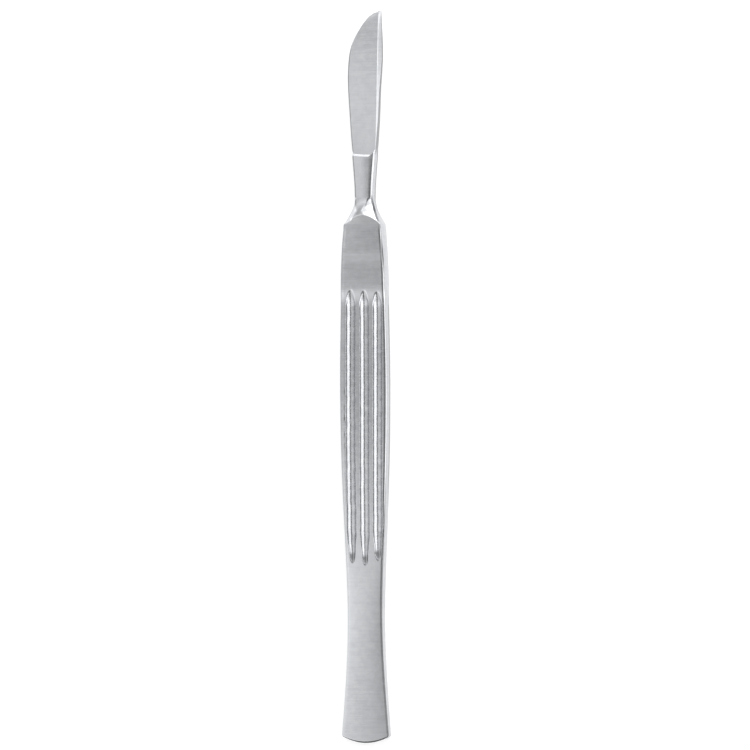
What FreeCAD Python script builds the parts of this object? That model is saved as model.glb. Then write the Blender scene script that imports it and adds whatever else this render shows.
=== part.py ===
import FreeCAD, Part
import math
import os

from FreeCAD import Vector

# A one-piece forged scalpel in stainless steel, in millimetres.
# It is worked out about its middle plane: Y runs from the end of the handle to the tip,
# X across the width with the cutting edge at -X, and Z through the thickness.
# It is laid on its back face at the end, with the middle of its length over the origin.

# Lengths along the instrument
handle_length = 113.4        # end of the handle to the corners of the shoulder
neck_length = 15.1           # corners of the shoulder to the plunge, where the ground blade begins
blade_length = 31.5          # plunge to tip

# Handle: a flat bar, waisted near its end and swelling at the grip
end_width = 10.8
end_bow = 1.3                # how far the rounded end stands out past its corners
end_corner_radius = 0.5
waist_width = 7.9
waist_at = 26.5              # from the end, as are the palm and the foot of the flutes
palm_width = 9.25
palm_at = 47.5
grip_width = 10.65
grip_back = 27.9             # from the shoulder, as are the brow and the top of the flutes
brow_width = 9.7
brow_back = 6.9
shoulder_width = 8.4
end_thickness = 2.1
shoulder_thickness = 4.5
long_edge_radius = 0.3

# Flutes: three round-bottomed grooves on each face
flute_count = 3
flute_radius = 1.3
flute_depth = 0.6
flute_top_back = 14.4        # ball-nosed upper ends
flute_foot = 39.5            # pointed lower ends
flute_runout = 6.5           # length over which a groove narrows towards its foot
flute_foot_width = 1.2       # where the narrowing ends in a rounded point
flute_pitch_top = 3.1
flute_pitch_foot = 2.9
flute_offset = 0.35          # the set of flutes stands a little towards the spine

# Shoulder: hollow-ground flare between the flat faces and the neck
flare_length = 5.8
arch_rise = 2.1              # height of the arch that each flat face ends in
scoop_dip = 0.15             # how far the scoops go below the flat of the neck
shoulder_chamfer = 0.08
edge_side_chamfer_swell = 0.5   # the chamfer on the cutting-edge side swells along the flare

# Neck: a flat bar with its four corners chamfered
neck_width = 4.0             # at its narrowest
neck_middle_width = 4.26
neck_middle_at = 3.3         # from the narrowest place
neck_top_width = 5.2         # at the plunge
neck_thickness = 3.0
neck_chamfer = 0.5

# Blade: ground on both faces up to a nearly straight line, with a bevelled back
belly_reach = 3.9            # middle line to the cutting edge at the deepest place of the belly
edge_thickness = 0.12
grind_thickness = 2.1        # over the two grind lines, at the plunge
tip_thickness = 0.5
back_bevel = 30.0            # degrees from the flat of the blade
back_least = 0.12            # least thickness of the back
plunge_draft = 15.0          # lean of the plunge wall, in degrees
plunge_radius = 0.3          # hollow along the foot of the wall
plunge_curl = 0.9            # how far the plunge turns up beside the back
plunge_curl_width = 1.4
root_inset = 0.04            # the root of the blade lies this far inside the sides of the neck
blade_overlap = 0.5          # how far the blade's root runs down into the neck

# Places that follow
grip_at = handle_length - grip_back
brow_at = handle_length - brow_back
flute_top = handle_length - flute_top_back
narrowest_at = handle_length + flare_length
plunge_at = handle_length + neck_length
total_length = plunge_at + blade_length
plunge_lean = math.tan(math.radians(plunge_draft))
plunge_top = plunge_lean * neck_thickness / 2       # how far the wall's foot stands past its brow
taper = (shoulder_thickness - end_thickness) / 2 / handle_length
taper_angle = math.degrees(math.atan(taper))
reach = 4 * shoulder_thickness      # comfortably past the thickness, for cutters


def face_height(y):
    """Height of the front face of the bar over the middle plane."""
    return end_thickness / 2 + taper * y


def along(stations, y):
    """Smooth curve through (place, value) pairs, read at one place."""
    last = len(stations) - 2
    i = max(0, min(last, sum(1 for place, value in stations[1:] if y > place)))

    def slope(j):
        a = stations[max(j - 1, 0)]
        b = stations[min(j + 1, last + 1)]
        return (b[1] - a[1]) / (b[0] - a[0])

    (y0, v0), (y1, v1) = stations[i], stations[i + 1]
    step = y1 - y0
    t = (y - y0) / step
    ease = t * t * (3 - 2 * t)
    lean_in = t * (1 - t) ** 2 * step * slope(i)
    lean_out = t * t * (1 - t) * step * slope(i + 1)
    return v0 + (v1 - v0) * ease + lean_in - lean_out


def skin(sections):
    """Solid through cross-sections, given as (y, corners): a smooth curve runs along each
    corner, and a surface ruled straight across lies between neighbouring curves."""
    places = [y for y, corners in sections]
    rows = [[Vector(x, y, z) for x, z in corners] for y, corners in sections]
    curves = []
    for column in zip(*rows):
        curve = Part.BSplineCurve()
        curve.interpolate(Points=list(column), Parameters=places)
        curves.append(curve.toShape())
    faces = [Part.makeRuledSurface(a, b) for a, b in zip(curves, curves[1:] + curves[:1])]
    faces += [Part.Face(Part.makePolygon(row + row[:1])) for row in (rows[0], rows[-1])]
    shell = Part.makeShell(faces)
    shell.sewShape()
    solid = Part.makeSolid(shell)
    if solid.Volume < 0:
        solid.reverse()
    return solid


def slab():
    """All that lies between the two flat faces, which come together towards the end."""
    near, far = -reach, total_length + reach
    corners = [
        Vector(-reach, near, -face_height(near)),
        Vector(-reach, far, -face_height(far)),
        Vector(-reach, far, face_height(far)),
        Vector(-reach, near, face_height(near)),
    ]
    side = Part.Face(Part.makePolygon(corners + corners[:1]))
    return side.extrude(Vector(2 * reach, 0, 0))


def handle_outline():
    """Plan of the handle: a smooth side, its mirror image, a bowed end and a square top."""
    stations = [
        (end_bow, end_width / 2),
        (waist_at, waist_width / 2),
        (palm_at, palm_width / 2),
        (grip_at, grip_width / 2),
        (brow_at, brow_width / 2),
        (handle_length, shoulder_width / 2),
    ]
    edges = []
    for side in (1, -1):
        curve = Part.BSplineCurve()
        curve.interpolate([Vector(side * x, y, 0) for y, x in stations])
        edges.append(curve.toShape())
    corner = Vector(end_width / 2, end_bow, 0)
    end = Part.Arc(corner, Vector(0, 0, 0), Vector(-corner.x, corner.y, 0))
    top = Part.LineSegment(
        Vector(-shoulder_width / 2, handle_length, 0), Vector(shoulder_width / 2, handle_length, 0)
    )
    edges += [end.toShape(), top.toShape()]
    return Part.Wire(Part.__sortEdges__(edges))


def handle():
    """Tapered bar with softened edges, before its flutes are cut."""
    outline = Part.Face(handle_outline())
    outline.translate(Vector(0, 0, -reach))
    bar = outline.extrude(Vector(0, 0, 2 * reach)).common(slab())
    upright = [e for e in bar.Edges if e.BoundBox.YLength < 1e-4 and e.BoundBox.XLength < 1e-4]
    end_corners = [e for e in upright if e.BoundBox.YMax < waist_at]
    bar = bar.makeFillet(end_corner_radius, end_corners)
    rim = [
        e
        for e in bar.Edges
        if e.BoundBox.YMin < handle_length - 1e-4
        and (e.BoundBox.ZMin > 1e-4 or e.BoundBox.ZMax < -1e-4)
    ]
    return bar.makeFillet(long_edge_radius, rim)


def flute_cutter():
    """Solid of revolution about the Y axis: a ball nose above, narrowing to a blunt point below."""
    stand = flute_radius - flute_depth          # axis over the face
    top = flute_top - math.sqrt(flute_radius**2 - stand**2)
    foot_radius = math.hypot(stand, flute_foot_width / 2)
    blunt = flute_foot_width / 2
    diagonal = math.sqrt(0.5)
    ball = Part.Arc(
        Vector(flute_radius, top, 0),
        Vector(flute_radius * diagonal, top + flute_radius * diagonal, 0),
        Vector(0, top + flute_radius, 0),
    )
    point = Part.Arc(
        Vector(stand, flute_foot, 0),
        Vector(foot_radius - (foot_radius - stand) * 0.25, flute_foot + blunt * 0.4, 0),
        Vector(foot_radius, flute_foot + blunt, 0),
    )
    narrowing = Part.makeLine(point.EndPoint, Vector(flute_radius, flute_foot + flute_runout, 0))
    side = Part.makeLine(Vector(flute_radius, flute_foot + flute_runout, 0), ball.StartPoint)
    axis = Part.makeLine(ball.EndPoint, Vector(0, flute_foot, 0))
    end = Part.makeLine(Vector(0, flute_foot, 0), point.StartPoint)
    profile = Part.Wire([point.toShape(), narrowing, side, ball.toShape(), axis, end])
    return Part.Face(profile).revolve(Vector(0, 0, 0), Vector(0, 1, 0), 360)


def flutes():
    """The cutters for both faces, parallel to the faces and drawing together at the foot."""
    cutters = []
    stand = flute_radius - flute_depth
    lean = math.degrees(math.atan((flute_pitch_top - flute_pitch_foot) / (flute_top - flute_foot)))
    for face in (1, -1):
        for i in range(flute_count):
            place = i - (flute_count - 1) / 2
            cutter = flute_cutter()
            cutter.rotate(Vector(0, flute_top, 0), Vector(0, 0, 1), -place * lean)
            cutter.rotate(Vector(0, 0, 0), Vector(1, 0, 0), face * taper_angle)
            height = end_thickness / 2 + stand / math.cos(math.radians(taper_angle))
            cutter.translate(Vector(flute_offset + place * flute_pitch_top, 0, face * height))
            cutters.append(cutter)
    return cutters


def neck_half_width(y):
    """Plan of the flare, a concave arc, and of the neck, which widens to the plunge."""
    half = neck_width / 2
    if y < narrowest_at:
        rise = shoulder_width / 2 - half
        radius = (flare_length**2 + rise**2) / (2 * rise)
        return half + radius - math.sqrt(radius**2 - (narrowest_at - y) ** 2)
    stations = [
        (narrowest_at, half),
        (narrowest_at + neck_middle_at, neck_middle_width / 2),
        (plunge_at, neck_top_width / 2),
    ]
    return along(stations, y)


def neck_section(y):
    """A flat octagon in the neck, whose front rises to a ridge as it nears the handle."""
    u = min(1.0, (y - handle_length) / flare_length)
    flat = neck_thickness / 2
    face = face_height(handle_length + arch_rise)
    ridge_start = 0.9
    climb = (1 - u / ridge_start) / (1 - arch_rise / flare_length / ridge_start)
    ridge = flat + (face - flat) * max(climb, 0.0) ** 4
    scoop = flat + (face - flat) * (1 - u) ** 5 - scoop_dip * math.sin(math.pi * u)
    half = neck_half_width(y)
    right = []
    for side, swell in ((1, 0.0), (-1, edge_side_chamfer_swell)):
        chamfer = shoulder_chamfer + (neck_chamfer - shoulder_chamfer) * u
        chamfer += swell * math.sin(math.pi * u)
        corner = (side * (half - chamfer), scoop)
        flank = (side * half, scoop - chamfer)
        right.append([corner, flank, (flank[0], -flank[1]), (corner[0], -corner[1])])
    spine_side, edge_side = right
    return [(0, ridge)] + spine_side + [(0, -ridge)] + edge_side[::-1]


def plunge_pocket():
    """What the grind of the blade takes off the end of the neck: a curved, leaning wall."""
    half = neck_top_width
    back = neck_top_width / 2
    foot = plunge_at + plunge_top
    curl = Part.BSplineCurve()
    curl.interpolate(
        [
            Vector(-half, foot, 0),
            Vector(0, foot - plunge_curl * 0.2, 0),
            Vector(back - plunge_curl_width, foot, 0),
            Vector(back, foot + plunge_curl, 0),
        ]
    )
    far = foot + neck_length
    corners = [
        curl.EndPoint,
        Vector(half, foot + plunge_curl, 0),
        Vector(half, far, 0),
        Vector(-half, far, 0),
        curl.StartPoint,
    ]
    plan = Part.Face(Part.Wire([curl.toShape()] + Part.makePolygon(corners).Edges))
    front, rear = [
        plan.extrude(Vector(0, -plunge_lean * reach, side * reach)) for side in (1, -1)
    ]
    return front.fuse(rear)


def neck():
    """The flare and the neck, cut off at the plunge and kept between the flat faces."""
    places = [handle_length + flare_length * u for u in (0, 0.17, 0.36, 0.56, 0.78, 1.0)]
    upper = plunge_at + 2 * plunge_curl + neck_chamfer - narrowest_at
    places += [narrowest_at + upper * u for u in (0.2, 0.45, 0.72, 1.0)]
    return skin([(y, neck_section(y)) for y in places]).common(slab()).cut(plunge_pocket())


def blade_section(d):
    """Wedge with a bevelled back, at distance d from the plunge."""
    span = blade_length
    root = neck_half_width(plunge_at + d) - root_inset
    clear = plunge_curl + plunge_top
    rooted = neck_half_width(plunge_at + clear) - root_inset
    edge_line = [
        (0, -root),
        (0.04 * span, -0.75 * belly_reach),
        (0.29 * span, -0.9 * belly_reach),
        (0.54 * span, -belly_reach),
        (0.71 * span, -0.905 * belly_reach),
        (0.79 * span, -0.73 * belly_reach),
        (0.87 * span, -0.41 * belly_reach),
        (0.95 * span, 0.08 * belly_reach),
        (0.99 * span, 0.53 * belly_reach),
        (span, 0.77 * belly_reach),
    ]
    back_line = [
        (clear, rooted),
        (0.27 * span, 0.83 * belly_reach),
        (0.45 * span, 0.9 * belly_reach),
        (0.7 * span, 1.05 * belly_reach),
        (span, 0.975 * belly_reach),
    ]
    grind_line = [
        (clear, rooted - root_inset),
        (0.6 * span, 0.8 * belly_reach),
        (span, 0.833 * belly_reach),
    ]
    edge = along(edge_line, d) if d > 0 else -root
    back = along(back_line, d) if d > clear else root
    grind = along(grind_line, d) if d > clear else root - root_inset
    t = max(d, 0) / span
    height = (grind_thickness + (tip_thickness - grind_thickness) * t**2.4) / 2
    fall = (back - grind) * math.tan(math.radians(back_bevel))
    spine = max(back_least / 2, height - fall)
    front = [(edge, edge_thickness / 2), (grind, height), (back, spine)]
    return front + [(x, -z) for x, z in reversed(front)]


def blade():
    """Loft of the wedge sections from just inside the neck to the tip."""
    steps = 14
    distances = [blade_length * math.sin(math.pi / 2 * i / steps) for i in range(1, steps + 1)]
    return skin([(plunge_at + d, blade_section(d)) for d in [-blade_overlap] + distances])


def scalpel():
    """The whole instrument, with the foot of the plunge hollowed on both faces."""
    body = handle().cut(Part.makeCompound(flutes()))
    body = body.fuse([neck(), blade()])
    foot = [
        e
        for e in body.Edges
        if e.BoundBox.XLength > neck_width / 2
        and e.BoundBox.YMin > plunge_at - plunge_curl
        and e.BoundBox.YMax < plunge_at + 2 * plunge_curl
        and max(e.BoundBox.ZMax, -e.BoundBox.ZMin) < neck_thickness / 2 - 1e-3
    ]
    return body.makeFillet(plunge_radius, foot)


def lay_on_back(shape):
    """Turns the back face level and sets the middle of the length over the origin."""
    shape.rotate(Vector(0, 0, 0), Vector(1, 0, 0), taper_angle)
    box = shape.optimalBoundingBox(False)
    shape.translate(Vector(0, -(box.YMin + box.YMax) / 2, -box.ZMin))
    return shape


os.makedirs("parts", exist_ok=True)
part = lay_on_back(scalpel())
solids = part.Solids
print("solids", len(solids), "valid", part.isValid(), "volume", round(part.Volume, 1))
print("box", part.optimalBoundingBox(False))
solids[0].exportStep("parts/scalpel.step")
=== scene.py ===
import math

import bpy
import numpy as np
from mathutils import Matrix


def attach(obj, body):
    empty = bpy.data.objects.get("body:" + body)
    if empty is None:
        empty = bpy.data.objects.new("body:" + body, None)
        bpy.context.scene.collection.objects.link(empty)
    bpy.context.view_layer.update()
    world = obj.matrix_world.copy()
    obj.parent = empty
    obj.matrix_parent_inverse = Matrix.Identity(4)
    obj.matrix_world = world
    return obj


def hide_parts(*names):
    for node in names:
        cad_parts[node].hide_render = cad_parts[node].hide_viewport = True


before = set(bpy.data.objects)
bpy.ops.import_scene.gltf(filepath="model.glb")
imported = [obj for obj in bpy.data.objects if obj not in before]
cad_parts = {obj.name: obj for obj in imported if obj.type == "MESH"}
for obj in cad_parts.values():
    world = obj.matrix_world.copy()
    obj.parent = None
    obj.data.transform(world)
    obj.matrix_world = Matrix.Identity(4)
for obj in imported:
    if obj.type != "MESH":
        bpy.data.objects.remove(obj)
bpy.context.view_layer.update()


# A socket in a node tree, so that shader maths reads as plain expressions
class Signal:
    def __init__(self, graph, socket):
        self.graph = graph
        self.socket = socket

    def __add__(self, other):
        return self.graph.maths("ADD", self, other)

    def __radd__(self, other):
        return self.graph.maths("ADD", other, self)

    def __sub__(self, other):
        return self.graph.maths("SUBTRACT", self, other)

    def __rsub__(self, other):
        return self.graph.maths("SUBTRACT", other, self)

    def __mul__(self, other):
        return self.graph.maths("MULTIPLY", self, other)

    def __rmul__(self, other):
        return self.graph.maths("MULTIPLY", other, self)


# A node tree, emptied and then filled node by node
class Graph:
    def __init__(self, tree):
        self.tree = tree
        tree.nodes.clear()

    # One node of any type: its settings first, then a ramp's stops, then its sockets, by name or place
    def node(self, kind, settings=None, inputs=None, output=0, stops=None):
        made = self.tree.nodes.new(kind)
        for name, value in (settings or {}).items():
            setattr(made, name, value)
        if stops:
            ramp = made.color_ramp
            while len(ramp.elements) < len(stops):
                ramp.elements.new(1.0)
            for element, (place, level) in zip(ramp.elements, stops):
                element.position = place
                element.color = (level, level, level, 1.0)
        for name, value in (inputs or {}).items():
            if isinstance(value, Signal):
                self.tree.links.new(value.socket, made.inputs[name])
            else:
                made.inputs[name].default_value = value
        return Signal(self, made.outputs[output]) if made.outputs else None

    def maths(self, operation, *values):
        return self.node("ShaderNodeMath", {"operation": operation}, dict(enumerate(values)))

    # Smooth step from 0 at one value to 1 at another
    def step(self, signal, low, high):
        return self.node("ShaderNodeMapRange", {"interpolation_type": "SMOOTHSTEP"},
                         {"Value": signal, "From Min": low, "From Max": high})

    def mix(self, share, first, second):
        return self.node("ShaderNodeMix", {"data_type": "RGBA"},
                         {0: share, 6: first, 7: second}, output=2)


# The instrument in millimetres, about its middle plane: y runs from the end of the handle to the blade's tip,
# and x from the edge side to the spine side. Pairs in a list are a place and the value there.
handle = {
    "length": 113.4,
    "halfWidths": [(1.3, 5.4), (26.5, 3.95), (47.5, 4.625), (85.5, 5.325), (98.0, 5.06), (106.5, 4.8),
                   (113.4, 4.2)],
    "sway": [(0, 0.04), (9, 0.1), (30, 0.12), (45, 0.08), (60, 0), (113.4, 0),
             (118, 0.15)],     # sideways, towards the spine
    "endBow": 1.3,             # how far the rounded end stands out
    "cornerRadius": 0.5,       # of the two corners of the end
    "endHalfThickness": 1.05,
    "shoulderHalfThickness": 2.25,
    "crown": [(0, 0.1), (30, 0.12), (48, 0.06), (90, 0.02), (113.4, 0.02)],    # how far the flats fall aside
    "waves": [(98.0, 2.0, 0.085), (106.3, 0.9, 0.08)],     # steps in the flats: places, reaches and slopes
    "waveSharpness": 1.2,
    "waveFade": (36.0, 90.0),  # what lies behind the steps comes back to the taper between these places
    "edgeAcross": [(0, 0.09), (36, 0.12), (60, 0.22), (113, 0.22)],            # the ground edges of the flats
    "edgeDown": 0.17,
    "endEdge": (0.34, 0.2),    # the ground edge round the end: along the length and down
    "shoulderEdge": 0.1,       # the ground edges where the flats stop
    "shoulderBlend": 2.0,      # and the length over which they become that wide
    "rollWidth": 0.45,         # the flats roll off a little before them
    "rollDrop": [(0, 0.012), (22, 0.02), (45, 0.05), (113, 0.06)],
    "spineSwell": (107.0, 2.6, 0.22),     # where the spine's ground edge is widest, its reach and extra width
    "spineBulge": 0.078,       # the spine's side is rounded, as a share of its half height
    "edgeRoundness": 0.12,     # the ground edges lie between a flat, at 0, and a quarter round, at 1
}
flutes = {
    "places": (-1, 0, 1),      # on the edge side, in the middle and on the spine side
    "radius": 1.3,             # of the ball-nosed cutter
    "depth": 0.6,
    "halfWidth": 1.095,        # at the flat
    "top": 99.0,               # the set's ends, from which its fan is reckoned
    "foot": 39.4,
    "tops": (99.2, 99.0, 98.8),
    "feet": (39.4, 38.9, 40.0),
    "pitchTop": 3.04,
    "pitchFoot": 2.9,
    "offsetTop": 0.33,
    "offsetFoot": 0.18,
    "lift": 3.4,               # the cutter lifts out over the last of the tops
    "liftPower": 1.3,
    "liftMost": 1.2,
    "runout": 6.5,             # the feet narrow over this length
    "footHalfWidth": 0.66,
    "footStand": 0.42,         # how far the cutter's centre stands above the flat there
    "footLength": 1.8,         # the blunt point
    "bluntMost": 1.3,
    "hook": (0.16, 2.6),       # how far the feet hook towards the spine, and over which length
    "bow": (-0.2, 0.0, 0.0),   # the first groove bows out towards the edge side
    "waviness": (0.055, 0.035, 0.04),     # hand-run milling: the walls wander a little
    "wavinessWave": 5.0,
    "swelling": 0.012,         # and the cut swells and shrinks by this share of the cutter's radius
    "swellingWave": 3.1,
    "seeds": (11, 31),         # of the wander and of the swelling
    "edgeSoftness": 0.025,
    "milledFrom": 0.25,        # depth at which the milled finish is complete
    "footPaintedShade": {"middle": 1.05, "reach": 1.15, "rim": 0.08, "rimShare": 0.8},     # the painted shade in their feet
    "footPaintedShadeAcross": {"least": 0.4, "middle": 0.6, "reach": 0.5},    # stronger on the edge side
    "crease": {"depth": 0.06, "worn": 0.5, "fade": (94.5, 96.0)},     # the worn rims, gone before the tops
}
neck = {
    "halfWidths": [(119.2, 2.0), (122.5, 2.13), (128.5, 2.6)],
    "halfThickness": 1.5,
    "crown": (0.15, 0.075),    # how far the neck's front falls to the edge side and to the spine side
    "crownFrom": 0.6,          # share of the flare at which that starts
    "crownPower": 2.4,
    "flare": 5.8,              # length of the flare, from the shoulder to the narrowest place
    "flarePower": 1.55,
    "archRise": 2.1,
    "archHalfWidth": 4.3,
    "archPower": 1.75,
    "archWorn": 0.07,          # height over which the arch's brighter rim fades
    "scoopPast": 0.4,          # the scoop ends this far past the narrowest place
    "scoopFall": (0.3, 0.62),  # how far the scoop falls to the edge side and to the spine side
    "scoopPower": (2.1, 3.2),  # how sharply it drops behind the arch, in the middle and at its sides
    "scoopSpread": 1.5,
    "fallPower": 0.8,          # the fall follows half a sine along the flare to this power
    "fallFade": 0.35,          # and is weaker by this share at the neck
    "ridgeAcross": [(0, -0.3), (0.36, -0.5), (0.514, -0.42), (0.634, 0.0), (0.79, 0.55), (0.964, 0.9),
                    (1, 0.95)],
    "ridgeSoftness": 0.06,
    "creaseSoftness": 0.02,
    "spineChamfer": [(0, 0.1), (0.2, 0.4), (0.85, 0.4), (1, 0.38)],      # widths by share of the flare
    "spineSlope": [(0, 0.9), (0.75, 0.9), (0.95, 0.66)],
    "edgeChamfer": [(0, 0.25), (0.14, 1.3), (0.44, 1.1), (0.67, 0.75), (0.85, 0.45), (1, 0.3)],
    "edgeSlope": [(0, 0.7), (0.8, 0.7), (1, 0.45)],
}
blade = {
    "plunge": 128.32,
    "length": 31.68,
    "edge": [(0, -2.56), (1.26, -2.925), (9.13, -3.51), (17.01, -3.9), (22.37, -3.53), (24.89, -2.85),
             (27.4, -1.6), (29.93, 0.31), (31.19, 2.07), (31.5, 3.0)],     # places from the plunge on
    "back": [(1.3, 2.66), (8.5, 3.24), (14.2, 3.51), (22.05, 4.1), (31.5, 3.8)],
    "grind": [(1.3, 2.62), (8.5, 2.8), (18.9, 3.0), (31.5, 3.15)],      # where the bevelled back starts
    "grindHalfThickness": 1.05,
    "tipHalfThickness": 0.25,
    "thinning": 2.4,           # power of the thinning towards the tip
    "edgeHalfThickness": 0.03,
    "edgeBevel": 0.24,         # width of the honed strip along the cutting edge
    "edgeBevelMost": 0.3,      # as a share of the blade's width
    "honing": 24.0,            # and its angle
    "backBevel": 30.0,
    "backLeast": 0.06,
    "tipRound": 0.14,          # reach of the rounded tip
    "rootFrom": 0.9,           # the back leaves the neck's line here, past the plunge
    "rootTo": 2.1,
    "rootReach": 1.3,          # and the neck's line goes on as far as this
    "rootStand": 0.02,
    "grindInset": 0.04,
    "hollow": 0.55,            # radius of the hollow at the foot of the plunge
    "wall": 0.02,              # thickness of the plunge's wall along the length
    "curl": 0.95,              # how far the plunge line turns up beside the back
    "curlFrom": 1.04,
    "curlWidth": 1.1,
    "curlPower": 1.6,
    "plungeSag": 0.035,        # its slight curve on the edge side
    "plungeReach": (-2.42, 2.14),         # its two ends, across
}
taper = (handle["shoulderHalfThickness"] - handle["endHalfThickness"]) / handle["length"]
shoulder = handle["length"]
narrowest = shoulder + neck["flare"]
totalLength = blade["plunge"] + blade["length"]


# How far y has come from one place to another, from 0 to 1
def part(y, begin, end):
    return np.clip((y - begin) / (end - begin), 0, 1)


# The same with a gentle start and finish: 3 t squared less 2 t cubed
def grow(y, begin, end):
    t = part(y, begin, end)
    return t * t * (3 - 2 * t)


# Smaller of two values, with the crease between them rounded over k
def softMin(a, b, k):
    return 0.5 * (a + b - np.sqrt((a - b) ** 2 + k * k))


# Cubic curve through stations, its slope at each taken from the two neighbours
def through(stations, y):
    place, value = np.array(stations, float).T
    before = np.r_[place[:1], place[:-1]]
    after = np.r_[place[1:], place[-1:]]
    slope = (np.interp(after, place, value) - np.interp(before, place, value)) / (after - before)
    y = np.clip(y, place[0], place[-1])
    i = np.clip(np.searchsorted(place, y) - 1, 0, len(place) - 2)
    gap = place[i + 1] - place[i]
    t = (y - place[i]) / gap
    return (value[i] + (value[i + 1] - value[i]) * t * t * (3 - 2 * t)
            + t * (1 - t) ** 2 * gap * slope[i] - t * t * (1 - t) * gap * slope[i + 1])


# Natural cubic spline through stations: its second slopes come from one linear system
def spline(stations, y):
    place, value = np.array(stations, float).T
    gap = np.diff(place)
    n = len(place)
    system = np.eye(n)
    right = np.zeros(n)
    for k in range(1, n - 1):
        system[k, k - 1:k + 2] = gap[k - 1], 2 * (gap[k - 1] + gap[k]), gap[k]
        right[k] = 6 * ((value[k + 1] - value[k]) / gap[k] - (value[k] - value[k - 1]) / gap[k - 1])
    bend = np.linalg.solve(system, right)
    y = np.clip(y, place[0] - 2, place[-1])
    i = np.clip(np.searchsorted(place, y) - 1, 0, n - 2)
    a = (place[i + 1] - y) / gap[i]
    b = (y - place[i]) / gap[i]
    return (a * value[i] + b * value[i + 1]
            + ((a ** 3 - a) * bend[i] + (b ** 3 - b) * bend[i + 1]) * gap[i] ** 2 / 6)


# Smooth wander along the length, about -1 to 1: five sines with seeded phases, each longer and lower than the
# one before
def wander(y, seed, wave):
    dice = np.random.default_rng(seed)
    total = np.zeros_like(y)
    for k in range(5):
        turn = 2 * np.pi * y / (wave * (0.6 + 0.35 * k)) + dice.uniform(0, 6.28)
        total = total + np.sin(turn) / (1 + 0.4 * k)
    return total / 2.2


# Half thickness of the handle: an even taper, less a smooth tanh step before each place in waves
def faceHeight(y):
    height = handle["endHalfThickness"] + taper * y
    for place, reach, slope in handle["waves"]:
        rise = slope * reach * math.sqrt(math.pi) / 2
        step = np.tanh(handle["waveSharpness"] * (y - place) / reach) - 1
        height = height + rise * step * grow(y, *handle["waveFade"])
    return height


# Half width of the neck: down the flare a power of the way left to go, then a curve through its stations
def neckHalf(y):
    half = neck["halfWidths"][0][1]
    rise = handle["halfWidths"][-1][1] - half
    flare = half + rise * (1 - part(y, shoulder, narrowest)) ** neck["flarePower"]
    return np.where(y < narrowest, flare, through(neck["halfWidths"], y))


# 0 along the handle, 1 at the end of its flats
def nearShoulder(y):
    return grow(y, shoulder - handle["shoulderBlend"], shoulder)


# The corners of the half section at each y as (x, z): r for the spine side and l for the edge side, f where
# the flat ends and s where the side starts. On the handle the flat's width is a spline less the ground edges,
# and the one on the spine side swells by a bell curve.
def handleCorners(y):
    half = spline(handle["halfWidths"], y)
    blend = nearShoulder(y)
    across = through(handle["edgeAcross"], y)
    down = np.minimum(across, handle["edgeDown"])
    across = across + (handle["shoulderEdge"] - across) * blend
    down = down + (handle["shoulderEdge"] - down) * blend
    top = faceHeight(y) - through(handle["crown"], y) - through(handle["rollDrop"], y) * (1 - blend)
    place, reach, extra = handle["spineSwell"]
    swell = extra * np.exp(-((y - place) / reach) ** 2)
    return {"rf": (half - across - swell, top), "rs": (half, top - down - swell),
            "lf": (across - half, top), "ls": (-half, top - down)}


# Where the handle's flat ends in its arch: a power curve across, highest in the middle
def archPlace(x):
    return shoulder + neck["archRise"] * (1 - part(np.abs(x), 0, neck["archHalfWidth"]) ** neck["archPower"])


# The scoop: from the flat's height at the arch down to the neck's front as a power of the way left to go, and
# hollowed from its ridge, at share 0, to each side, at share 1
def scoopHeight(x, y, share, side):
    u = part(y, shoulder, narrowest)
    aside = np.clip(np.abs(share), 0, 1)
    begin = archPlace(x)
    t = part(y, begin, narrowest + neck["scoopPast"])
    middle, outer = neck["scoopPower"]
    power = middle + (outer - middle) * aside ** neck["scoopSpread"]
    soft = neck["ridgeSoftness"]
    across = (np.sqrt(share ** 2 + soft * soft) - soft) / (math.sqrt(1 + soft * soft) - soft)
    bow = np.sin(np.pi * u) ** neck["fallPower"] * (1 - neck["fallFade"] * u)
    fall = neck["scoopFall"][side] * across * bow
    crown = neck["crown"][side] * grow(u, neck["crownFrom"], 1) * aside ** neck["crownPower"]
    low = neck["halfThickness"] - fall - crown
    return low + (faceHeight(begin) - low) * (1 - t) ** power


# The neck's corners: its half width less the chamfers, which swell and fade along the flare
def neckCorners(y):
    u = part(y, shoulder, narrowest)
    half = neckHalf(y)
    spineWide = through(neck["spineChamfer"], u)
    edgeWide = through(neck["edgeChamfer"], u)
    left = scoopHeight(edgeWide - half, y, 1.0, 0)
    right = scoopHeight(half - spineWide, y, 1.0, 1)
    return {"rf": (half - spineWide, right), "rs": (half, right - spineWide * through(neck["spineSlope"], u)),
            "lf": (edgeWide - half, left), "ls": (-half, left - edgeWide * through(neck["edgeSlope"], u))}


# The blade's corners: the honed strip's two lines, then the grind line with the bevelled back outside it.
# They are curves through stations, and the two on the spine side leave the neck's own line past the plunge.
def bladeCorners(y):
    past = y - blade["plunge"]
    thin = blade["edgeHalfThickness"]
    edge = through(blade["edge"], past)
    root = neckHalf(np.minimum(y, blade["plunge"] + blade["rootReach"])) + blade["rootStand"]
    join = grow(past, blade["rootFrom"], blade["rootTo"])
    back = root + (through(blade["back"], past) - root) * join
    inset = root - blade["grindInset"]
    grind = inset + (through(blade["grind"], past) - inset) * join
    thick, thinnest = blade["grindHalfThickness"], blade["tipHalfThickness"]
    height = thick + (thinnest - thick) * part(past, 0, blade["length"]) ** blade["thinning"]
    fall = (back - grind) * math.tan(math.radians(blade["backBevel"]))
    bevel = np.minimum(blade["edgeBevel"], blade["edgeBevelMost"] * (grind - edge))
    honed = thin + math.tan(math.radians(blade["honing"])) * bevel
    return {"rf": (grind, height), "rs": (back, np.maximum(blade["backLeast"], height - fall)),
            "lf": (edge + bevel, honed), "ls": (edge, thin + 0 * y)}


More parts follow.
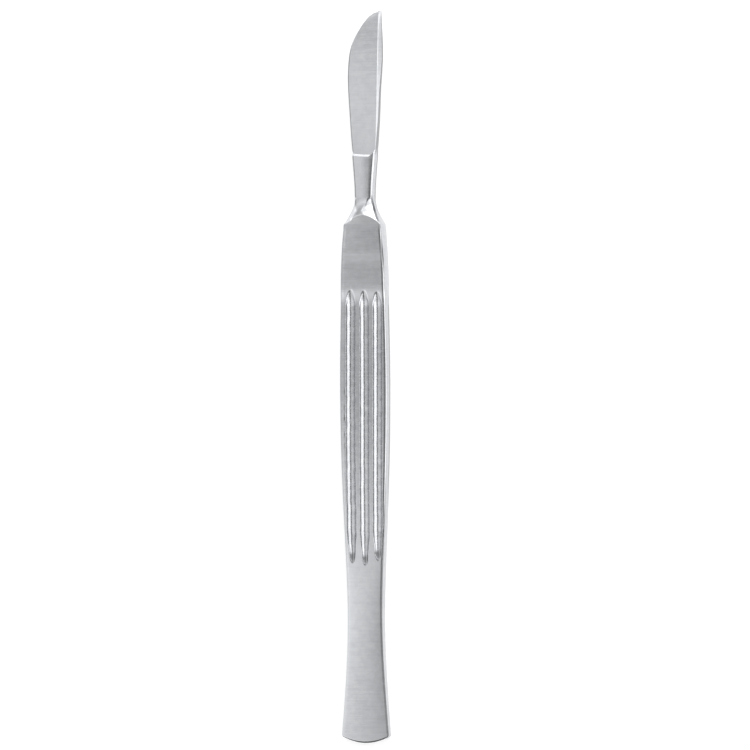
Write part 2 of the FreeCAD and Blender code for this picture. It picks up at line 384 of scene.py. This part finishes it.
# The plunge line in plan: almost square, a little curved on the edge side, curling up beside the back
def plungeLine(across):
    rise = part(across, blade["curlFrom"], blade["curlFrom"] + blade["curlWidth"]) ** blade["curlPower"]
    return blade["plunge"] + blade["curl"] * rise + blade["plungeSag"] * np.minimum(across, 0) ** 2


# How high the hollow at the foot of the plunge still stands over the blade: a quarter circle from the line on
def plungeFoot(y, across):
    r = blade["hollow"]
    past = np.clip(y - plungeLine(across), 0, r)
    return r - np.sqrt(np.maximum(r * r - (r - past) ** 2, 0))


# Heights on both sides of the plunge: the neck's, then a steep wall, then the hollow and the blade's
def joined(neckValue, bladeValue, y, across):
    line = plungeLine(across)
    drop = np.minimum(neckValue - bladeValue, plungeFoot(y, across))
    return neckValue + (bladeValue + drop - neckValue) * part(y, line, line + blade["wall"])


# The corners over the whole length: the widths pass from the neck to the blade as the hollow runs out
def corners(y, across):
    hand, stem, tip = handleCorners(y), neckCorners(y), bladeCorners(y)
    share = 1 - plungeFoot(y, across) / blade["hollow"]
    found = {}
    for name in hand:
        x, z = [np.where(y < shoulder, hand[name][k], stem[name][k]) for k in (0, 1)]
        found[name] = x + (tip[name][0] - x) * share, joined(z, tip[name][1], y, across)
    return found


# Middle line of a groove: the set fans out evenly from its foot to its top
def fluteCentre(place, y):
    up = (y - flutes["foot"]) / (flutes["top"] - flutes["foot"])
    offset = flutes["offsetFoot"] + (flutes["offsetTop"] - flutes["offsetFoot"]) * up
    return offset + place * (flutes["pitchFoot"] + (flutes["pitchTop"] - flutes["pitchFoot"]) * up)


# Depth of the grooves under the flat, before softening: the cutter's own circle at each y, less how far its
# centre stands above the flat. With it, the painted shade in the foot of each groove: a flat-topped bell
# along it, and stronger on the edge side.
def fluteDepth(x, y):
    depth = np.full(np.broadcast(x, y).shape, -1.0)
    paintedShade = np.zeros(depth.shape)
    hook, hookLength = flutes["hook"]
    shade, aside = flutes["footPaintedShade"], flutes["footPaintedShadeAcross"]
    point = flutes["footLength"]
    up = part(y, flutes["foot"], flutes["top"])
    for k, place in enumerate(flutes["places"]):
        foot = flutes["feet"][k]
        run = part(y, foot + point, foot + flutes["runout"])
        stand = flutes["footStand"] + (flutes["radius"] - flutes["depth"] - flutes["footStand"]) * run
        width = flutes["footHalfWidth"] + (flutes["halfWidth"] - flutes["footHalfWidth"]) * run
        blunt = np.clip((foot + point - y) / point, 0, flutes["bluntMost"])
        lift = np.clip((y - flutes["tops"][k]) / flutes["lift"] + 1, 0, flutes["liftMost"])
        radius = np.hypot(stand, width)
        radius = radius - (radius - stand) * blunt ** 2 - flutes["depth"] * lift ** flutes["liftPower"]
        radius = radius * (1 + flutes["swelling"] * wander(y, flutes["seeds"][1] + k, flutes["swellingWave"]))
        centre = fluteCentre(place, y) + 4 * flutes["bow"][k] * up * (1 - up)
        centre = centre + flutes["waviness"][k] * wander(y, flutes["seeds"][0] + k, flutes["wavinessWave"])
        centre = centre + hook * part(-y, -foot - hookLength, -foot)
        one = np.sqrt(np.maximum(radius ** 2 - (x - centre) ** 2, 0)) - stand
        depth = np.maximum(depth, one)
        # Painted shade in the foot of each groove, darker in the recess
        end = np.exp(-((y - foot - shade["middle"]) / shade["reach"]) ** 4)
        end = end * np.clip(one / shade["rim"] + shade["rimShare"], 0, 1)
        edgeSide = np.clip(aside["middle"] - (x - centre) / aside["reach"], 0, 1)
        paintedShade = np.maximum(paintedShade, end * (aside["least"] + (1 - aside["least"]) * edgeSide))
    return depth, paintedShade


# The handle's flat: its crown is a square across, and it rolls off as a square before the ground edges
def handleFlat(x, y):
    half = spline(handle["halfWidths"], y)
    edge = half - through(handle["edgeAcross"], y)
    roll = part(np.abs(x), edge - handle["rollWidth"], edge) ** 2 * (1 - nearShoulder(y))
    crown = part(np.abs(x), 0, half) ** 2
    return faceHeight(y) - through(handle["crown"], y) * crown - through(handle["rollDrop"], y) * roll


# The two scoops on either side of their ridge
def neckFront(x, y):
    stem = neckCorners(y)
    ridge = through(neck["ridgeAcross"], part(y, shoulder, narrowest))
    onSpine = x > ridge
    share = np.where(onSpine, (x - ridge) / (stem["rf"][0] - ridge), (x - ridge) / (stem["lf"][0] - ridge))
    return np.where(onSpine, scoopHeight(x, y, share, 1), scoopHeight(x, y, share, 0))


# The blade's ground face: straight across from the honed strip to the grind line
def bladeFront(x, y):
    tip = bladeCorners(y)
    rise = (tip["rf"][1] - tip["lf"][1]) / (tip["rf"][0] - tip["lf"][0])
    return tip["lf"][1] + rise * (x - tip["lf"][0])


# Front surface between the two flat corners, with its finish: worn rims and milled grooves, and painted
# shade in the grooves' feet
def frontSurface(x, y, across):
    flat = handleFlat(x, y)
    groove, paintedShade = fluteDepth(x, y)
    sunk = -softMin(-groove, 0, flutes["edgeSoftness"])
    handleTop = flat - np.where((y < flutes["top"] + 1) & (y > flutes["foot"] - 1), sunk, 0)
    scooped = neckFront(x, y)
    neckTop = softMin(flat, scooped, neck["creaseSoftness"])
    onHandle = y < shoulder
    height = joined(np.where(onHandle, handleTop, neckTop), bladeFront(x, y), y, across)
    crease = flutes["crease"]
    rims = crease["worn"] * np.exp(-(groove / crease["depth"]) ** 2) * (1 - grow(y, *crease["fade"]))
    arch = np.exp(-((faceHeight(y) - scooped) / neck["archWorn"]) ** 2) * (y > shoulder)
    milled = part(groove, 0, flutes["milledFrom"]) * onHandle
    return height, np.clip(rims + arch, 0, 1), milled, paintedShade * onHandle


# The grid of the surface: rows along the length, closer where the form turns quickly, and columns across
grid = {
    "endRows": [(0.0, 0.0), (0.0, 0.45), (0.0, 0.75)],     # places and shares of the thickness
    "endTurn": (0.0, 0.08, 0.3, 0.6, 0.92),                # shares of the ground edge round the end
    "stretches": [                                         # from, to and the gap between rows
        (0.42, 1.2, 0.13), (1.2, 38.0, 1.5), (38.0, 42.0, 0.14), (42.0, 47.0, 0.3),
        (47.0, 96.6, 0.5), (96.6, 99.3, 0.09), (99.3, 111.0, 1.1), (111.0, 113.3, 0.3),
        (113.3, 113.5, 0.05), (113.5, 119.4, 0.11), (119.4, 127.6, 0.7), (127.6, 128.3, 0.175),
        (128.315, 128.365, 0.025), (128.38, 128.9, 0.04), (128.9, 131.5, 0.29), (131.5, 155.0, 0.9),
        (155.0, 158.5, 0.3), (158.5, 159.5, 0.12), (159.5, 159.86, 0.06)],
    "tipTurn": (80, 60, 40, 20, 0),                        # degrees round the tip
    "endFade": 12.0,                                       # the rows straighten over this length from the end
    "plungeBend": [(124.4, 128.0), (129.4, 133.4)],        # they bend to the plunge line and straighten again
    "sideReach": 5.3,                                      # where the rows' bow is reckoned, on the sides
    "frontReach": 5.2,                                     # and at the two ends of the front
    "upright": (0.0, 0.5, 0.93),                           # columns up the sides
    "turn": (0.0, 0.14, 0.36, 0.64, 0.86),                 # and over the ground edges
    "turnWorn": (0.5, 0.9, 1.0, 0.9, 0.6),
    "groovePad": 1.27,                                     # the grooves' columns reach past their rims
    "grooveSteps": (-1.0, -0.94, -0.9, -0.865, -0.835, -0.805, -0.77, -0.72, -0.65, -0.55, -0.42,
                    -0.28, -0.14),                         # up to the middle of a groove
    "edgeLand": (0.0, 0.07, 0.5),                          # the flats between and beside the grooves
    "land": (0.0, 0.3, 0.7),
    "spineLand": (0.0, 0.5, 0.93, 1.0),
}


# Places of the rows along the length, and the share of the thickness at each: full along the stretches, down
# straight over the ground edge of the end, and down an arc at the tip
def rowPlaces():
    long, down = handle["endEdge"]
    down = down / handle["endHalfThickness"]
    ends = grid["endRows"] + [(long * t, 1 - down * (1 - t)) for t in grid["endTurn"]]
    middle = []
    for begin, end, gap in grid["stretches"]:
        count = max(2, int(round((end - begin) / gap)) + 1)
        middle += [(place, 1.0) for place in np.linspace(begin, end, count)[:-1]]
    turn = [math.radians(angle) for angle in grid["tipTurn"]]
    tip = [(totalLength - blade["tipRound"] * math.sqrt(1 - math.cos(a)), math.sin(a)) for a in turn]
    return np.array(ends + middle + tip).T


# Shares across the front, lined up with the sides of the grooves and the lands between them
def acrossFront(y):
    zone = np.clip(y, flutes["foot"], flutes["top"])
    run = part(zone, flutes["foot"], flutes["foot"] + flutes["runout"])
    width = flutes["footHalfWidth"] + (flutes["halfWidth"] - flutes["footHalfWidth"]) * run
    found = handleCorners(zone)
    left, right = found["lf"][0], found["rf"][0]
    knots = [left]
    for place in flutes["places"]:
        centre = fluteCentre(place, zone)
        knots += [centre - grid["groovePad"] * width, centre + grid["groovePad"] * width]
    knots.append(right)
    knots = [(knot - left) / (right - left) for knot in knots]
    half = np.array(grid["grooveSteps"])
    groove = (np.concatenate([half, [0], -half[:0:-1]]) + 1) / 2
    more = len(flutes["places"]) - 1
    steps = [grid["edgeLand"]] + [groove, grid["land"]] * more + [groove, grid["spineLand"]]
    bands = [a[:, None] + (b - a)[:, None] * np.array(step) for a, b, step in zip(knots, knots[1:], steps)]
    return np.concatenate(bands, axis=1)


# The rows' own course in plan: a square bow that fades from the end on, and the plunge line's curve beside it
def bent(y, across, reach):
    bending, straightening = grid["plungeBend"]
    nearEnd = 1 - grow(y, 0, grid["endFade"])
    nearPlunge = grow(y, *bending) * (1 - grow(y, *straightening))
    bow = handle["endBow"] * (across / handle["halfWidths"][0][1]) ** 2
    curve = plungeLine(reach) - blade["plunge"]
    return y[:, None] + bow * nearEnd[:, None] + curve * nearPlunge[:, None]


# Painted shade on the spine's side by place: darker past the plunge and towards the tip, dark along the
# flare's chamfer
spineShade = {
    "blade": 2.0,              # length over which the painted shade on the side grows past the plunge
    "tip": (138.0, 156.0),
    "tipSide": 0.4,
    "tipEdge": 0.7,
    "flareOn": (0.2, 1.0),     # past the shoulder
    "flareOff": (-0.3, 0.9),   # past the narrowest place
    "flarePaintedShade": 0.75,
    "lowerEdge": (1.4, 1.6, 1.5, 1.1),    # painted shade along its lower edge, where it lies on the floor, column by column
    "gripOn": (50.0, 60.0),
    "gripOff": (94.0, 99.0),
    "neckOn": (115.0, 118.0),
}


# One side, as columns from the middle plane up to the flat: straight up the side, then over the ground edge,
# which lies between its chord and a quarter round. The spine's side bulges by a square.
def sideBlock(y, flatName, sideName, onSpine):
    up, turn = np.array(grid["upright"]), np.array(grid["turn"])
    n = len(up)
    reach = np.full((len(y), n + len(turn)), blade["plungeReach"][1 if onSpine else 0])
    yy = bent(y, np.full(reach.shape, grid["sideReach"]), reach)
    found = corners(yy, reach)
    (flatX, flatZ), (sideX, sideZ) = found[flatName], found[sideName]
    roundness = handle["edgeRoundness"]
    out = np.cos(turn * np.pi / 2) * roundness + (1 - turn) * (1 - roundness)
    rise = np.sin(turn * np.pi / 2) * roundness + turn * (1 - roundness)
    x, z = sideX.copy(), sideZ.copy()
    x[:, n:] = flatX[:, n:] + (sideX - flatX)[:, n:] * out
    z[:, n:] = sideZ[:, n:] + (flatZ - sideZ)[:, n:] * rise
    z[:, :n] = sideZ[:, :n] * up
    worn = np.tile(np.r_[np.zeros(n), grid["turnWorn"]], (len(y), 1))
    spine, paintedShade = np.zeros_like(x), np.zeros_like(x)
    if onSpine:
        x[:, :n] += handle["spineBulge"] * sideZ[:, :n] * (1 - up ** 2)
        # Painted shade on the spine's side: growing past the plunge and towards the tip, and along the
        # flare's chamfer
        tip = grow(yy, *spineShade["tip"])
        on = [shoulder + place for place in spineShade["flareOn"]]
        off = [narrowest + place for place in spineShade["flareOff"]]
        flare = grow(yy, *on) * (1 - grow(yy, *off))
        side = grow(yy, blade["plunge"], blade["plunge"] + spineShade["blade"]) + spineShade["tipSide"] * tip
        spine = np.concatenate([side[:, :n], spineShade["tipEdge"] * tip[:, n:]], axis=1)
        paintedShade[:, n:] = spineShade["flarePaintedShade"] * flare[:, n:]
        worn = worn * (1 - np.maximum(flare, tip))
    return {"x": x, "y": yy, "z": z, "worn": worn, "groove": np.zeros_like(x), "paintedShade": paintedShade, "spine": spine}


# The front, as columns from the edge side to the spine side
def frontBlock(y):
    shares = acrossFront(y)
    low, high = blade["plungeReach"]
    reach = low + (high - low) * shares
    yy = bent(y, grid["frontReach"] * (2 * shares - 1), reach)
    found = corners(yy, reach)
    x = found["lf"][0] + (found["rf"][0] - found["lf"][0]) * shares
    z, worn, groove, paintedShade = frontSurface(x, yy, reach)
    return {"x": x, "y": yy, "z": z, "worn": worn, "groove": groove, "paintedShade": paintedShade, "spine": np.zeros_like(x)}


# How far the two corners of the end are rounded off, as a share of the width: a quarter circle
def cornerCut(y):
    radius = handle["cornerRadius"]
    return radius * (1 - np.sqrt(1 - (1 - part(y, 0, radius)) ** 2)) / handle["halfWidths"][0][1]


# The whole surface as rings: left side, front and right side, then the same columns in reverse as the back, a
# mirror image without the two on the middle plane. Gives the arrays by name and the front half's columns.
def scalpelSurface():
    y, thick = rowPlaces()
    left = sideBlock(y, "lf", "ls", False)
    front = frontBlock(y)
    right = sideBlock(y, "rf", "rs", True)
    half = {name: np.concatenate([left[name], front[name], right[name][:, ::-1]], axis=1) for name in left}
    half["x"] = half["x"] * (1 - cornerCut(y)[:, None]) + through(handle["sway"], half["y"])
    half["z"] = half["z"] * thick[:, None]
    count = half["x"].shape[1]
    whole = {name: np.concatenate([value, value[:, -2:0:-1]], axis=1) for name, value in half.items()}
    whole["z"][:, count:] *= -1
    # Painted shade along the lower edge of the spine's side, by the floor: over the grip and from the neck on
    lower = count + np.arange(len(spineShade["lowerEdge"]))
    along = whole["y"][:, lower]
    shown = grow(along, *spineShade["gripOn"]) * (1 - grow(along, *spineShade["gripOff"]))
    shown = (shown + grow(along, *spineShade["neckOn"])) * spineShade["lowerEdge"]
    whole["spine"][:, lower] = np.maximum(whole["spine"][:, lower], shown)
    return whole, count


# Each ring joined to the next in quads that face outwards. At the two ends the section closes on the middle
# plane, so there the back takes the front's points.
def ringQuads(rows, ring, count):
    index = np.arange(rows * ring).reshape(rows, ring)
    back = np.arange(count, ring)
    for row in (0, rows - 1):
        index[row, back] = index[row, 2 * (count - 1) - back]
    a, b = index[:-1], index[1:]
    return np.stack([a, np.roll(a, -1, 1), np.roll(b, -1, 1), b], axis=2).reshape(-1, 4)


# Turned by the taper, so that the back face lies flat, then centred along the length, set down, and in metres
def laidDown(x, y, z):
    angle = math.atan(taper)
    along = y * math.cos(angle) - z * math.sin(angle)
    up = y * math.sin(angle) + z * math.cos(angle)
    points = np.stack([x, along, up], axis=2).reshape(-1, 3)
    low, high = points.min(0), points.max(0)
    points[:, 1] -= (low[1] + high[1]) / 2
    points[:, 2] -= low[2]
    return points / 1000


def buildScalpel():
    surface, count = scalpelSurface()
    rows, ring = surface["x"].shape
    used, quads = np.unique(ringQuads(rows, ring, count), return_inverse=True)
    quads = quads.reshape(-1, 4)
    points = laidDown(surface["x"], surface["y"], surface["z"])[used]

    mesh = bpy.data.meshes.new("scalpelSteel")
    mesh.vertices.add(len(points))
    mesh.vertices.foreach_set("co", points.astype(np.float32).ravel())
    mesh.loops.add(quads.size)
    mesh.loops.foreach_set("vertex_index", quads.astype(np.int32).ravel())
    mesh.polygons.add(len(quads))
    mesh.polygons.foreach_set("loop_start", np.arange(0, quads.size, 4, dtype=np.int32))
    mesh.polygons.foreach_set("use_smooth", np.ones(len(quads), bool))
    mesh.update(calc_edges=True)
    mesh.validate()
    for name in ("worn", "groove", "paintedShade", "spine"):
        attribute = mesh.attributes.new(name, "FLOAT", "POINT")
        attribute.data.foreach_set("value", surface[name].reshape(-1)[used].astype(np.float32))
    piece = bpy.data.objects.new("scalpelSteel", mesh)
    bpy.context.scene.collection.objects.link(piece)
    print("scalpel:", len(points), "points,", 2 * len(quads), "triangles")
    return piece


# Satin ground steel. Each texture is a noise: its scales across, along and up, and its detail.
steel = {
    "colours": [(0.53, 0.54, 0.56, 1.0), (0.63, 0.64, 0.66, 1.0)],
    "polished": (0.72, 0.73, 0.75, 1.0),       # towards this on worn rims
    "paintedShadeColour": (0.1, 0.103, 0.108, 1.0),          # and towards this where shade is painted, and in the pit
    "brushed": ((160.0, 3600.0, 260.0), 3.0),  # fine lines across the flats
    "milled": ((3200.0, 420.0, 3200.0), 2.0),  # lines along the grooves
    "chatter": ((900.0, 1500.0, 900.0), 2.0),
    "mottled": ((700.0, 700.0, 700.0), 4.0),
    "broad": ((130.0, 65.0, 130.0), 2.0),
    "grooveGrain": (0.6, 1.8),                 # shares of the milled lines and of the chatter
    "toneShares": (0.35, 0.35, 0.3),           # of mottled, broad and brushed
    "fineSpan": (0.3, 0.7),                    # between these a noise turns from one colour to the other
    "broadSpan": (0.35, 0.65),
    "wornMix": 0.6,
    "paintedShadeMix": (0.9, 0.6, 0.45),               # painted shade in the feet and flare and on the spine's side, and the pit
    "roughness": 0.19,
    "roughnessShares": {"grain": 0.10, "mottled": 0.08, "worn": 0.06, "paintedShade": 0.12},
    "bump": 0.14,
    "bumpDistance": 0.00005,
    "bumpShares": {"grain": 0.6, "mottled": 0.8, "pit": 3.0},
    "pitPlace": (0.00096, 0.06454, 0.0030),    # a small pit in the blade
    "pitRadii": (0.00011, 0.00022),
}


def steelMaterial():
    material = bpy.data.materials.new("satinSteel")
    material.use_nodes = True
    g = Graph(material.node_tree)
    place = g.node("ShaderNodeTexCoord", output="Object")
    worn, groove, paintedShade, spine = [g.node("ShaderNodeAttribute", {"attribute_name": name}, output="Fac")
                                 for name in ("worn", "groove", "paintedShade", "spine")]

    def noise(name):
        scales, detail = steel[name]
        where = g.node("ShaderNodeMapping", inputs={"Vector": place, "Scale": scales})
        sockets = {"Vector": where, "Scale": 1.0, "Detail": detail}
        return g.node("ShaderNodeTexNoise", inputs=sockets, output="Fac")

    brushed, milled, chatter, mottled, broad = [noise(name) for name in
                                                ("brushed", "milled", "chatter", "mottled", "broad")]
    milledShare, chatterShare = steel["grooveGrain"]
    grain = brushed * (1 - groove) + (milled * milledShare + chatter * chatterShare) * groove
    ofMottled, ofBroad, ofBrushed = steel["toneShares"]
    tone = (g.step(mottled, *steel["fineSpan"]) * ofMottled + g.step(broad, *steel["broadSpan"]) * ofBroad
            + g.step(brushed, *steel["fineSpan"]) * ofBrushed)
    away = g.node("ShaderNodeVectorMath", {"operation": "DISTANCE"}, {0: place, 1: steel["pitPlace"]},
                  output="Value")
    pit = 1 - g.step(away, *steel["pitRadii"])

    ofDark, ofSpine, ofPit = steel["paintedShadeMix"]
    colour = g.mix(tone, *steel["colours"])
    colour = g.mix(worn * steel["wornMix"], colour, steel["polished"])
    # Painted shade: the colour darkens in the grooves' feet, along the flare's chamfer and on the spine's
    # side; the pit darkens too
    colour = g.mix(paintedShade * ofDark + spine * ofSpine + pit * ofPit, colour, steel["paintedShadeColour"])
    shares = steel["roughnessShares"]
    rough = (steel["roughness"] + (grain - 0.5) * shares["grain"] + (mottled - 0.5) * shares["mottled"]
             - worn * shares["worn"] + paintedShade * shares["paintedShade"])
    shares = steel["bumpShares"]
    height = grain * shares["grain"] + mottled * shares["mottled"] - pit * shares["pit"]
    bump = g.node("ShaderNodeBump", inputs={
        "Strength": steel["bump"], "Distance": steel["bumpDistance"], "Height": height})
    shader = g.node("ShaderNodeBsdfPrincipled", inputs={
        "Base Color": colour, "Metallic": 1.0, "Roughness": rough, "Normal": bump})
    g.node("ShaderNodeOutputMaterial", inputs={"Surface": shader})
    return material


floorLook = {"colour": (0.45, 0.45, 0.45, 1.0), "glow": 0.66, "roughness": 0.9, "radius": 3.0, "corners": 64}


# A round pale floor that glows a little, so that the picture's ground is even
def buildFloor():
    angles = np.linspace(0, 2 * np.pi, floorLook["corners"], endpoint=False)
    rim = floorLook["radius"] * np.stack([np.cos(angles), np.sin(angles), 0 * angles], 1)
    mesh = bpy.data.meshes.new("floor")
    mesh.from_pydata(rim.tolist(), [], [tuple(range(len(rim)))])
    floor = bpy.data.objects.new("floor", mesh)
    bpy.context.scene.collection.objects.link(floor)
    material = bpy.data.materials.new("paleFloor")
    material.use_nodes = True
    g = Graph(material.node_tree)
    shader = g.node("ShaderNodeBsdfPrincipled", inputs={
        "Base Color": floorLook["colour"], "Roughness": floorLook["roughness"], "Specular IOR Level": 0.0,
        "Emission Color": (1.0, 1.0, 1.0, 1.0), "Emission Strength": floorLook["glow"]})
    g.node("ShaderNodeOutputMaterial", inputs={"Surface": shader})
    mesh.materials.append(material)


# Soft studio surround: brightness by the angle across the instrument times brightness by the angle along it,
# in degrees from straight above. White cards beyond the tip and on the left are added, which fade in between
# two values of the direction's y and of its x.
surround = {
    "across": [(-180, 0.2), (-120, 0.2), (-95, 0.14), (-75, 0.18), (-64, 0.15), (-50, 0.16), (-38, 0.19),
               (-26, 0.2), (-17, 0.19), (-9, 0.09), (-3, 0.05), (12, 0.05), (19, 0.5), (36, 0.5), (44, 0.43),
               (56, 0.5), (62, 0.4), (68, 0.05), (95, 0.05), (120, 0.3)],
    "along": [(-90, 0.2), (-40, 0.3), (-25, 1.1), (-10, 1.6), (-3, 1.0), (0, 0.96), (6, 0.9), (12, 1.5),
              (16, 1.9), (22, 1.6), (30, 1.35), (36, 1.1), (90, 1.0)],
    "strength": 3.15,
    "cards": [{"along": (0.66, 0.84), "across": (-0.75, -0.6), "level": 2.0},
              {"along": (0.2, 0.42), "across": (-0.7, -0.82), "level": 1.1}],
    "backdrop": 1.0,           # what the camera sees of it
}
# Soft boxes: over the lower half of the handle, over the feet of its grooves, beside it, over the blade, and
# beyond the shoulder. Those that overlap hang at heights of their own.
fills = [
    {"place": (-0.088, -0.125, 0.2), "size": (0.105, 0.21), "level": 0.15},
    {"place": (-0.061, -0.053, 0.22), "size": (0.1, 0.032), "level": 0.22},
    {"place": (-0.41, -0.1475, 0.21), "size": (0.642, 0.245), "level": 0.38},
    {"place": (-0.116, 0.0595, 0.2), "size": (0.1, 0.063), "level": 0.42},
    {"place": (0.025, 0.185, 0.2), "size": (0.15, 0.23), "level": 1.2},
]


def buildSurround():
    world = bpy.data.worlds.new("surround")
    bpy.context.scene.world = world
    world.use_nodes = True
    g = Graph(world.node_tree)
    direction = g.node("ShaderNodeTexCoord", output="Generated")
    split = g.node("ShaderNodeSeparateXYZ", inputs={"Vector": direction}).socket.node
    dx, dy, dz = [Signal(g, split.outputs[k]) for k in range(3)]
    across = g.maths("ARCTAN2", dx, dz) * (0.5 / math.pi) + 0.5
    along = g.maths("ARCSINE", dy) * (1 / math.pi) + 0.5
    byAcross = g.node("ShaderNodeValToRGB", inputs={"Fac": across},
                      stops=[(angle / 360 + 0.5, level) for angle, level in surround["across"]])
    byAlong = g.node("ShaderNodeValToRGB", inputs={"Fac": along},
                     stops=[(angle / 180 + 0.5, level) for angle, level in surround["along"]])
    level = byAcross * byAlong * surround["strength"]
    for card in surround["cards"]:
        level = level + g.step(dy, *card["along"]) * g.step(dx, *card["across"]) * card["level"]
    seen = g.node("ShaderNodeLightPath", output="Is Camera Ray")
    level = level * (1 - seen) + seen * surround["backdrop"]
    light = g.node("ShaderNodeBackground", inputs={"Color": (1.0, 1.0, 1.0, 1.0), "Strength": level})
    g.node("ShaderNodeOutputWorld", inputs={"Surface": light})


# Area lights that face straight down, with power by their area, so that a level means the same on each
def buildFills():
    for k, fill in enumerate(fills):
        data = bpy.data.lights.new("fill%d" % k, "AREA")
        data.shape = "RECTANGLE"
        data.size, data.size_y = fill["size"]
        data.energy = fill["level"] * math.pi * data.size * data.size_y
        light = bpy.data.objects.new("fill%d" % k, data)
        light.location = fill["place"]
        light.visible_camera = False
        bpy.context.scene.collection.objects.link(light)


view = {
    "yaw": 17.0,               # degrees from straight above, towards the spine
    "frame": 0.16423,          # width of the picture at the instrument
    "lens": 300.0,
    "sensor": 36.0,
    "shiftAcross": 0.00159,
    "shiftAlong": 0.00047,
    "farthest": 20.0,
}


def buildCamera():
    yaw = math.radians(view["yaw"])
    data = bpy.data.cameras.new("camera")
    data.lens = view["lens"]
    data.sensor_width = view["sensor"]
    data.sensor_fit = "HORIZONTAL"
    data.clip_end = view["farthest"]
    camera = bpy.data.objects.new("camera", data)
    bpy.context.scene.collection.objects.link(camera)
    right = np.array([math.cos(yaw), 0, -math.sin(yaw)])
    back = np.array([math.sin(yaw), 0, math.cos(yaw)])
    target = right * view["shiftAcross"] + np.array([0, view["shiftAlong"], 0])
    camera.location = tuple(target + back * view["frame"] * view["lens"] / view["sensor"])
    camera.rotation_euler = (0, yaw, 0)
    bpy.context.scene.camera = camera


scalpel = buildScalpel()
scalpel.data.materials.append(steelMaterial())
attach(scalpel, "root")
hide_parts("scalpel")
print("steel finished")
buildFloor()
buildSurround()
buildFills()
buildCamera()
bpy.context.scene.view_settings.view_transform = "Standard"
print("studio set")
